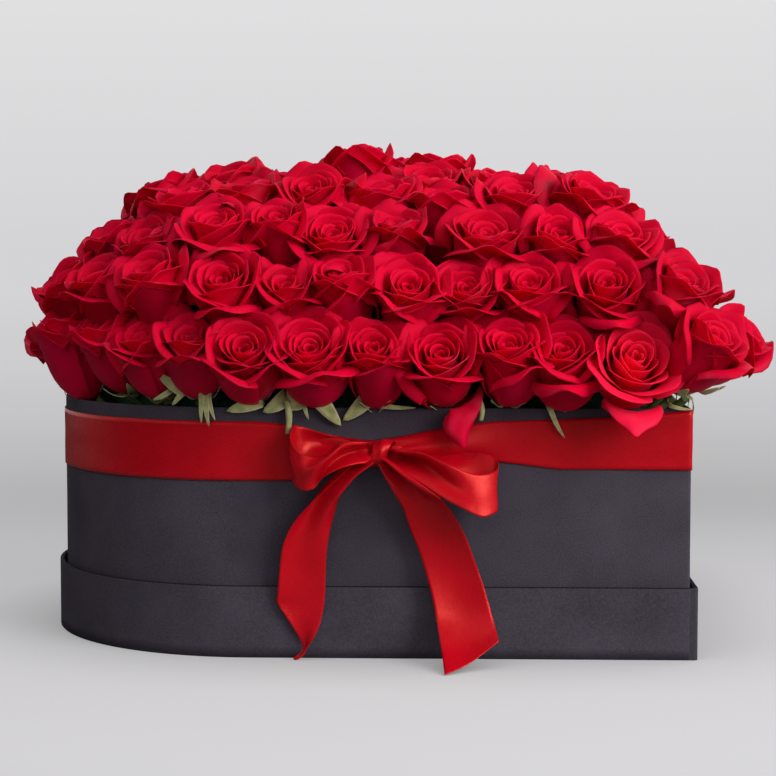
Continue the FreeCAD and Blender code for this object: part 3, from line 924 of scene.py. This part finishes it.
def rose_seats(row):
    """(bloom centre, axis) of each rose in a row, read from its stem, in order round the heart."""
    seats = []
    for group in islands("rose_stems_" + row):
        middle = sum(group, Vector()) / len(group)
        end = max(group, key=lambda p: p.z)
        low = [p for p in group if (p - end).length > 0.5 * STEM_LONG]
        high = [p for p in group if (p - end).length <= 0.5 * STEM_LONG]
        axis = (sum(high, Vector()) / len(high) - sum(low, Vector()) / len(low)).normalized()
        seats.append((middle + axis * (0.5 * STEM_LONG + STEM_TO_BLOOM), axis))
    return sorted(seats, key=lambda seat: atan2(seat[0].y, seat[0].x))


# Blooms that the photograph shows plainly, by row: place along the front, style, size, tone, plum margins,
# shift along the front and up, and where the outermost petal hangs, in degrees from straight down
FRONT_BLOOMS = {
    "row_1": (
        (-204, "bud", 1.18, 0.95, 0.2, (-4, 1), 20), (-179, "bud", 1.04, 0.75, 0.4, (5, 3), 0),
        (-147, "half_open", 1.04, 0.65, 0.2, (7, 1), -30), (-110, "folded", 1.05, 0.42, 1.0, (4, 3), 10),
        (-69, "half_open", 1.12, 0.42, 0.6, (0, -1), -35), (-28, "cupped", 1.14, 0.58, 0.1, (0, -1), 15),
        (13, "bud", 1.10, 0.36, 0.3, (-2, -4), 25), (54, "strap", 1.13, 0.48, 0.2, (-1, -4), 50),
        (95, "half_open", 1.08, 0.46, 0.1, (0, -1), 30), (136, "blown", 1.08, 0.46, 0.2, (-7, -3), 0),
        # The wide bloom's tone of 1.50 is painted light: it paints that bloom brighter, for the light on its
        # face
        (178, "wide", 1.12, 1.50, 0.1, (-6, -3), -5), (224, "half_open", 1.02, 0.36, 0.4, (-9, 6), 20),
        (227, "bud", 0.98, 0.40, 0.3, (9, 5), 40),
    ),
    "row_2": (
        (-167, "cupped", 1.00, 0.45, 0.2, (0, 3), 0), (-134, "half_open", 1.10, 0.52, 0.2, (5, 5), 30),
        (-96, "half_open", 1.10, 0.55, 0.1, (13, 2), 10), (-54, "folded", 0.92, 0.42, 0.4, (9, 0), 20),
        (-12, "bud", 1.08, 0.40, 0.2, (2, 0), 30), (29, "half_open", 1.05, 0.55, 0.1, (2, -1), 20),
        (71, "cupped", 0.95, 0.48, 0.2, (-2, -1), 0), (112, "half_open", 1.06, 0.50, 0.1, (-5, -1), 25),
        (155, "blown", 1.10, 0.42, 0.3, (1, 1), 0),
    ),
    "row_3": (
        (-102, "open", 1.10, 0.68, 0.1, (10, 8), 30), (-61, "bud", 1.00, 0.55, 0.2, (10, 8), 0),
        (-19, "open", 1.08, 0.66, 0.1, (2, 3), 0), (23, "folded", 0.98, 0.42, 0.8, (0, 6), 20),
        (65, "cupped", 1.12, 0.36, 0.3, (15, 0), 0), (108, "bud", 1.10, 0.60, 0.1, (19, -2), 0),
        (153, "blown", 1.05, 0.50, 0.2, (12, 0), 10),
    ),
    "row_4": ((49, "bud", 1.20, 0.55, 0.1, (5, -13), 0), (92, "drooping", 1.00, 0.52, 0.1, (8, 0), 20)),
    "row_5": ((0, "bud", 1.15, 0.46, 0.1, (-5, 6), 0),),
}
FRONT_Y = -85 * MM
FRONT_GROWTH = 1.04
# What the other blooms' styles are drawn from: on the sides and back, at the left lobe's rim, and at the top
STYLE_DRAW = ("half_open", "half_open", "cupped", "cupped", "open", "blown", "bud", "drooping", "folded")
LOBE_DRAW = ("cupped", "bud")
TOP_DRAW = ("open", "wide", "open", "blown")
TOP_ROWS = ("row_4", "row_5", "crown", "infill")
TOP_GROWTH = 1.08
SAME_SEAT = 2.5
# How far to the left a rim bloom faces to be on the lobe, and how far the rim blooms' petals turn from down
LOBE_FACING, RIM_HANG = -0.3, 0.25
NOD = 5


def front_bloom(row, centre):
    """The entry for a bloom that the photograph shows plainly, or nothing."""
    for bloom in FRONT_BLOOMS.get(row, ()):
        if centre.y < FRONT_Y and abs(centre.x / MM - bloom[0]) < SAME_SEAT:
            return bloom
    return None


# Each row, and how far its blooms settle from their solids: turned up, dropped, drawn in (last two in mm)
SETTLE = {
    "row_1": (0.20, -3.0, 3.0), "row_2": (0.18, 7.0, 0.0), "row_3": (0.14, 10.0, 0.0),
    "row_4": (0.05, 2.0, 0.0), "row_5": (0.0, 5.0, 0.0), "crown": (0.0, 6.0, 0.0), "infill": (0.0, 2.0, 0.0),
}
UNEVEN = 3
LOBE_DRAWN_IN = 13.0
LOBE_RISE = 0.6


def settled(row, seats):
    """(centre, axis, front bloom) of each bloom as it lies among its neighbours, a little unevenly."""
    rng = random.Random(len(row) + len(seats))
    rise, drop, drawn = SETTLE[row]
    pressed = []
    for centre, axis in seats:
        out = Vector((axis.x, axis.y, 0))
        out = out.normalized() if out.length > 0.05 else Vector()
        lobe = smooth_step(-1.4 * out.x) if row == "row_1" else 0.0
        shift = Vector([rng.uniform(-UNEVEN, UNEVEN) for _ in range(3)])
        bloom = front_bloom(row, centre)
        if bloom:
            along, rising = bloom[5]
            shift = Vector((along, 0, rising))
        shift -= out * (drawn + LOBE_DRAWN_IN * lobe) + up(drop)
        pressed.append((centre + shift * MM, (axis + up(rise + LOBE_RISE * lobe)).normalized(), bloom))
    return pressed


TOP_SPACING = 48 * MM
TOP_MOVES, TOP_PUSH = 14, 0.2
TOP_FARTHEST = 10 * MM


def spread_out(seats_by_row):
    """The seats with the blooms at the top moved sideways, from near neighbours into the gaps."""
    seats = [(row, seat) for row in seats_by_row for seat in seats_by_row[row]]
    places = [seat[0].copy() for _, seat in seats]
    for _ in range(TOP_MOVES):
        for i, (row, seat) in enumerate(seats):
            if row not in TOP_ROWS or seat[2]:
                continue
            push = Vector()
            for k, other in enumerate(places):
                away = places[i] - other
                if k != i and away.length < TOP_SPACING:
                    push += away.normalized() * (TOP_SPACING - away.length)
            moved = places[i] + TOP_PUSH * push - seat[0]
            moved.z = 0.0
            places[i] = seat[0] + moved * min(1.0, TOP_FARTHEST / max(moved.length, MM))
    spread = {row: [] for row in seats_by_row}
    for (row, seat), place in zip(seats, places):
        spread[row].append((place, seat[1], seat[2]))
    return spread


def bloom_frame(centre, axis, spin, size, nod):
    """Matrix that stands a bloom on its seat, spun about its axis and nodding a little."""
    turn = up(1).rotation_difference(axis).to_matrix().to_4x4()
    tilt = Matrix.Rotation(nod[0], 4, "X") @ Matrix.Rotation(nod[1], 4, "Y")
    return Matrix.Translation(centre) @ turn @ tilt @ Matrix.Rotation(spin, 4, "Z") @ Matrix.Scale(size, 4)


def downhill(axis):
    """Angle about a bloom's axis of the side that hangs lowest."""
    low = up(1).rotation_difference(axis).inverted() @ up(-1)
    return atan2(low.y, low.x)


def choose_bloom(row, axis, bloom, rng):
    """(style, size, tone, plum, hang) of the bloom on a seat. hang is from straight down, in radians."""
    styles, growth = STYLE_DRAW, 1.0
    if row in TOP_ROWS:
        styles, growth = TOP_DRAW, TOP_GROWTH
    elif row == "row_1" and axis.x < LOBE_FACING:
        styles = LOBE_DRAW
    draw = (rng.choice(styles), growth * rng.uniform(1.0, 1.12), rng.uniform(0.25, 0.75), rng.random() ** 2)
    hang = rng.uniform(-pi, pi)
    if bloom:
        _, style, size, tone, plum, _, front_hang = bloom
        return style, FRONT_GROWTH * size, tone, plum, radians(front_hang)
    if row == "row_1":
        hang *= RIM_HANG
    return draw + (hang,)


def make_blooms(seats_by_row):
    rng = random.Random(BLOOM_SEED)
    blooms = {}
    for number, name in enumerate(BLOOM_STYLES):
        seed = STYLE_SEED + 10 * number
        blooms[name] = [make_bloom(BLOOM_STYLES[name], seed + k) for k in range(VARIANTS)]
    for row, seats in seats_by_row.items():
        pieces = max(1, ceil(len(seats) / BLOOMS_IN_PIECE))
        share = ceil(len(seats) / pieces)
        for part in range(pieces):
            bm = bmesh.new()
            bm.loops.layers.uv.new("petal")
            tone_and_light_of = bm.verts.layers.float.new("bloom_tone_and_light")
            plum_of = bm.verts.layers.float.new("bloom_plum")
            for centre, axis, bloom in seats[part * share:(part + 1) * share]:
                style, size, tone, plum, hang = choose_bloom(row, axis, bloom, rng)
                mesh, outermost = rng.choice(blooms[style])
                nod = [radians(rng.uniform(-NOD, NOD)) for _ in range(2)]
                place = bloom_frame(centre, axis, downhill(axis) + hang - outermost, size, nod)
                before = len(bm.verts)
                bm.from_mesh(mesh)
                bm.verts.ensure_lookup_table()
                made = bm.verts[before:]
                bmesh.ops.transform(bm, matrix=place, verts=made)
                for v in made:
                    v[tone_and_light_of] = tone
                    v[plum_of] = plum
            name = "rose_blooms_" + row + "_" + "abc"[part]
            keep_piece(name, bm, "arrangement", PETAL_RED, "rose_heads_" + row)


# Sepals

HIP_TOP, HIP_LOW, HIP_R = -26.0, -34.5, 5.4
SEPAL_COLUMNS, SEPAL_ROWS = 4, 8
SEPAL_THICK = 0.35 * MM
SEPALS_IN_CALYX = 5


def add_hip(bm, place):
    """Green hip under a bloom, with its stub of stem."""
    profile = ((2.7, HIP_LOW), (3.4, -33), (5.0, -30), (HIP_R, -28), (4.6, HIP_TOP))

    def on_hip(across, along):
        r, z = profile[round(along * (len(profile) - 1))]
        return place @ (round_at(tau * across, r, z) * MM)

    shaped_grid(bm, 10, len(profile) - 1, on_hip, "sepal")


def add_sepal(bm, path, side, width):
    """Pointed sepal along a path, its margins lifted, side giving its flat direction."""
    def on_sepal(across, along):
        point = along_points(path, along)
        ahead = along_points(path, min(1, along + 0.02)) - along_points(path, max(0, along - 0.02))
        ahead.normalize()
        flat = (side - ahead * side.dot(ahead)).normalized()
        lifted = flat.cross(ahead)
        u = 2 * across - 1
        half = width * (0.45 + 0.55 * sin(pi * min(1, along * 1.9 + 0.12) / 2))
        half *= (1 - along ** 2.2) ** 0.8
        return point + flat * u * max(half, 0.15 * MM) + lifted * 0.9 * MM * u * u * (1 - along)

    shaped_grid(bm, SEPAL_COLUMNS, SEPAL_ROWS, on_sepal, "sepal")


# Sepals that hang over the rim at the front: start and end as (x, height), and width, in millimetres
RIM_SEPALS = (
    ((-109.5, 168), (-129, 181), 10), ((-121, 166), (-131, 163), 4), ((-112, 165), (-118, 160), 4),
    ((-98, 165), (-99, 149), 4), ((-96, 165), (-94, 147), 5), ((-94, 165), (-90, 151), 4),
    ((-62, 163), (-83, 157), 12), ((-46, 163.7), (-60, 156.4), 12), ((-45, 162.5), (-33, 160), 12),
    ((-34, 160.6), (-31, 151.7), 3), ((-25, 165), (-10.5, 148), 13), ((6, 163.7), (-9.5, 151), 12),
    ((11.5, 160), (36.6, 159.3), 4), ((120, 157.4), (130.3, 140.4), 4), ((195.7, 160), (210, 158.7), 3),
)
# Cut stubs of stem at the rim: x, upper and lower height, radius
RIM_STUBS = ((-44.5, 164, 143, 1.7), (77, 164, 151.7, 1.5))
RIM_CLEAR = 2.6
STUB_CLEAR = 2.2
RIM_OVER = 161.5
RIM_SPACING = 27.0


def front_wall(x):
    """(y of the box's outside, outward direction) at an x on the front or its lobe, in millimetres."""
    quarter, radius = QUARTER / MM, 2 * QUARTER / MM
    if x >= -quarter:
        return -REACH / MM, Vector((0, -1, 0))
    deep = sqrt(radius ** 2 - (x + quarter) ** 2)
    return -quarter - deep, Vector(((x + quarter) / radius, -deep / radius, 0))


def add_rim_sepal(bm, base, tip, out, width):
    """Sepal from inside the box, over the rim at base, and down or along the outside to its tip."""
    over = Vector((base.x, base.y, max(base.z + 1.5, RIM_OVER)))
    middle = base.lerp(tip, 0.5) + out * 1.6
    path = [over - out * 7 + up(3)] + [point + out * RIM_CLEAR for point in (over, middle, tip)]
    side = (tip - base).cross(out).normalized()
    add_sepal(bm, [p * MM for p in path], side, 0.5 * width * MM)


def add_stub(bm, x, top, low, radius):
    y, _ = front_wall(x)

    def on_stub(across, along):
        angle = tau * across
        r = radius * (1 + 0.15 * sin(5 * along)) if along < 1 else 0.3 * radius
        bend = 1.2 * sin(pi * along)
        point = Vector((x + bend + r * cos(angle), y - RIM_CLEAR - STUB_CLEAR + r * sin(angle), 0))
        point.z = top + (low - top) * min(1.0, along / 0.9)
        return point * MM

    shaped_grid(bm, 8, 10, on_stub, "sepal")


def rim_sepals(bm, rng):
    """Sepals and stem stubs at the rim: as seen along the front, scattered round the other sides."""
    for (x0, z0), (x1, z1), width in RIM_SEPALS:
        y0, out = front_wall(x0)
        y1, _ = front_wall(x1)
        add_rim_sepal(bm, Vector((x0, y0, z0)), Vector((x1, y1, z1)), out, width)
    for stub in RIM_STUBS:
        add_stub(bm, *stub)
    walked = 0.0
    last = None
    for point, out in heart_walk(0.0):
        walked += (point - last).length / MM if last else 0.0
        last = point
        if walked < RIM_SPACING or point.y < -0.95 * REACH or out.x < -0.3 and point.y < -QUARTER:
            continue
        walked = rng.uniform(-8, 8)
        out = out.to_3d()
        base = point.to_3d() / MM + up(rng.uniform(159.5, 164))
        tip = base + out.cross(up(1)) * rng.uniform(-14, 14) - up(rng.uniform(4, 15))
        add_rim_sepal(bm, base, tip, out, rng.uniform(4, 9))


def make_sepals(seats_by_row):
    """Hips with their sepals clasping the blooms, and those that hang over the rim of the box."""
    rng = random.Random(SEPAL_SEED)
    for row, seats in seats_by_row.items():
        bm = bmesh.new()
        bm.loops.layers.uv.new("sepal")
        for centre, axis, _ in seats:
            place = bloom_frame(centre, axis, rng.uniform(0, tau), 1.0, (0, 0))
            add_hip(bm, place)
            for k in range(SEPALS_IN_CALYX):
                angle = tau * (k + rng.uniform(-0.15, 0.15)) / SEPALS_IN_CALYX
                long = rng.uniform(0.85, 1.1)
                bends = ((4.2, -29.5), (9, -28), (13.5, -23 * long), (17, -17 * long))
                path = [place @ ((round_at(angle) * r + up(z)) * MM) for r, z in bends]
                side = place.to_3x3() @ Vector((-sin(angle), cos(angle), 0))
                add_sepal(bm, path, side, rng.uniform(3.4, 4.6) * MM)
        if row == "row_1":
            rim_sepals(bm, rng)
        weld(bm, 0.001 * MM)
        name, node = "rose_sepals_" + row, "rose_calyxes_" + row
        keep_piece(name, bm, "arrangement", SEPAL_GREEN, node, SEPAL_THICK)


# Floor, light and camera

# Backdrop: its colour low and high, the height over which it changes, and from where on it lies behind
WORLD_TONES = (0.655, 0.650, 0.665, 1), (0.745, 0.745, 0.755, 1)
WORLD_RISE, WORLD_BEHIND = (0.0, 0.12), (-0.2, 0.3)
# Floor colour in front and behind: the darker back is painted shade
FLOOR_FRONT = (0.255, 0.252, 0.256, 1)
FLOOR_BACK = (0.235, 0.232, 0.236, 1)
# Share of the floor's radius, and how bright it looks from there on
FLOOR_FAR = ((0.05, 0.43), (0.09, 0.50), (0.15, 0.56), (0.26, 0.61), (0.58, 0.64), (1.0, 0.66))
FLOOR_RADIUS = 12.0
# Where the floor's painted shade dims it towards the back, and where it turns into backdrop all round and at
# the back, in metres
FLOOR_DIMS, FLOOR_ENDS, FLOOR_ENDS_BACK = (-0.5, 0.15), (0.45, 1.0), (0.05, 0.75)
FLOOR_GLOW = 1.72
FLOOR_BOUNCE = 0.1
# How far the object keeps the studio's light off the floor, in metres, and what is left at its foot
FLOOR_SHADE_REACH, FLOOR_SHADE = 0.10, 0.30
# Fill light from a direction, and its strength away from and towards it
FILL_COLOUR = (0.97, 0.97, 1.0, 1)
FILL_FROM = (0.56, -0.66, 0.50)
FILL_LOW, FILL_HIGH = 0.0, 1.15
FILL_IN_GLOSS = 0.12


def make_floor():
    """Pale floor, dimmer towards the back as painted shade, that runs into the backdrop with no edge; its
    glow is painted darker at the object's foot.
    """
    finish = fresh_finish("floor")
    at = finish.at()
    depth = finish.part(at, 1)
    near = finish.mix(finish.spread(depth, *FLOOR_DIMS), FLOOR_FRONT, FLOOR_BACK)
    seen = finish.add("LightPath").outputs["Is Camera Ray"]
    shade = finish.add("AmbientOcclusion", {"Distance": FLOOR_SHADE_REACH}, samples=8).outputs["AO"]
    shaded = finish.spread(shade, 0.0, 1.0, FLOOR_SHADE * FLOOR_GLOW, FLOOR_GLOW)
    finish.feed(finish.shader, {
        "Base Color": near, "Roughness": 0.9, "Specular IOR Level": 0.1,
        "Emission Color": near, "Emission Strength": finish.times(seen, shaded),
    })
    distance = finish.add("VectorMath", {0: at}, operation="LENGTH").outputs["Value"]
    round_it = finish.spread(distance, *FLOOR_ENDS, interpolation_type="SMOOTHSTEP")
    behind = finish.spread(depth, *FLOOR_ENDS_BACK, interpolation_type="SMOOTHSTEP")
    fade = finish.add("ValToRGB", {0: finish.spread(distance, 0.0, FLOOR_RADIUS)})
    stops = fade.color_ramp.elements
    for number, (place, bright) in enumerate(FLOOR_FAR):
        stop = stops[number] if number < 2 else stops.new(place)
        stop.position = place
        stop.color = (bright, 0.99 * bright, 1.01 * bright, 1)
    strength = finish.spread(seen, 0.0, 1.0, FLOOR_BOUNCE, 1.0)
    glow = finish.add("Emission", {"Color": fade.outputs[0], "Strength": strength})
    finish.show_mix("Material Output", finish.maths("MAXIMUM", round_it, behind), finish.shader, glow)
    bm = bmesh.new()
    bmesh.ops.create_circle(bm, cap_ends=True, segments=96, radius=FLOOR_RADIUS)
    floor = new_object("floor", bm, finish.owner)


def make_world():
    """Pale backdrop behind the box, also in its gloss, and a fill light that comes from the front right."""
    scene.world = bpy.data.worlds.new("studio")
    studio = Finish(scene.world)
    seen = studio.add("LightPath").outputs
    toward = studio.add("TexCoord").outputs["Generated"]
    behind = studio.spread(studio.part(toward, 1), *WORLD_BEHIND)
    gloss = studio.maths("MAXIMUM", seen["Is Glossy Ray"], seen["Is Transmission Ray"])
    plain = studio.maths("MAXIMUM", seen["Is Camera Ray"], studio.times(gloss, behind))
    facing = studio.add("VectorMath", {0: toward, 1: FILL_FROM}, operation="DOT_PRODUCT").outputs["Value"]
    strength = studio.spread(facing, 0.0, 1.0, FILL_LOW, FILL_HIGH)
    in_gloss = studio.spread(seen["Is Glossy Ray"], 0.0, 1.0, 1.0, FILL_IN_GLOSS)
    fill = studio.tree.nodes["Background"]
    studio.feed(fill, {0: FILL_COLOUR, 1: studio.times(strength, in_gloss)})
    sky = studio.mix(studio.spread(studio.part(toward, 2), *WORLD_RISE), *WORLD_TONES)
    studio.show_mix("World Output", plain, fill, studio.add("Background", {0: sky, 1: 1.0}))


def softbox(name, place, aim, size, power):
    light = bpy.data.lights.new(name, "AREA")
    light.energy = power
    light.size = size
    lamp = linked(name, light)
    lamp.location = place
    lamp.rotation_euler = (Vector(aim) - Vector(place)).to_track_quat("-Z", "Y").to_euler()


PHOTO_WIDTH = 776
FOCAL_PIXELS = 2000
SENSOR = 36.0
CAMERA_AT = (0.05976, -1.46798, 0.25743)
# Tilt up from straight down, and turn to the left, in degrees
CAMERA_TILT, CAMERA_TURN = 86.1, 1.857


def make_camera():
    data = bpy.data.cameras.new("camera")
    data.sensor_width = SENSOR
    data.lens = SENSOR * FOCAL_PIXELS / PHOTO_WIDTH
    camera = linked("camera", data)
    camera.location = CAMERA_AT
    camera.rotation_euler = (radians(CAMERA_TILT), 0, radians(CAMERA_TURN))
    scene.camera = camera


make_camera()
make_floor()
make_world()
softbox("key_softbox", place=(1.27, -1.12, 0.84), aim=(0.05, -0.1, 0.2), size=1.0, power=24)
softbox("left_softbox", place=(-0.85, -0.75, 1.25), aim=(-0.05, 0, 0.15), size=1.3, power=3.5)
scene.view_settings.view_transform = "Standard"
finish_nodes()
make_papers()
make_band()
make_bow()
make_knot()
SEATS = spread_out({row: settled(row, rose_seats(row)) for row in SETTLE})
make_blooms(SEATS)
make_sepals(SEATS)

bpy.context.view_layer.update()
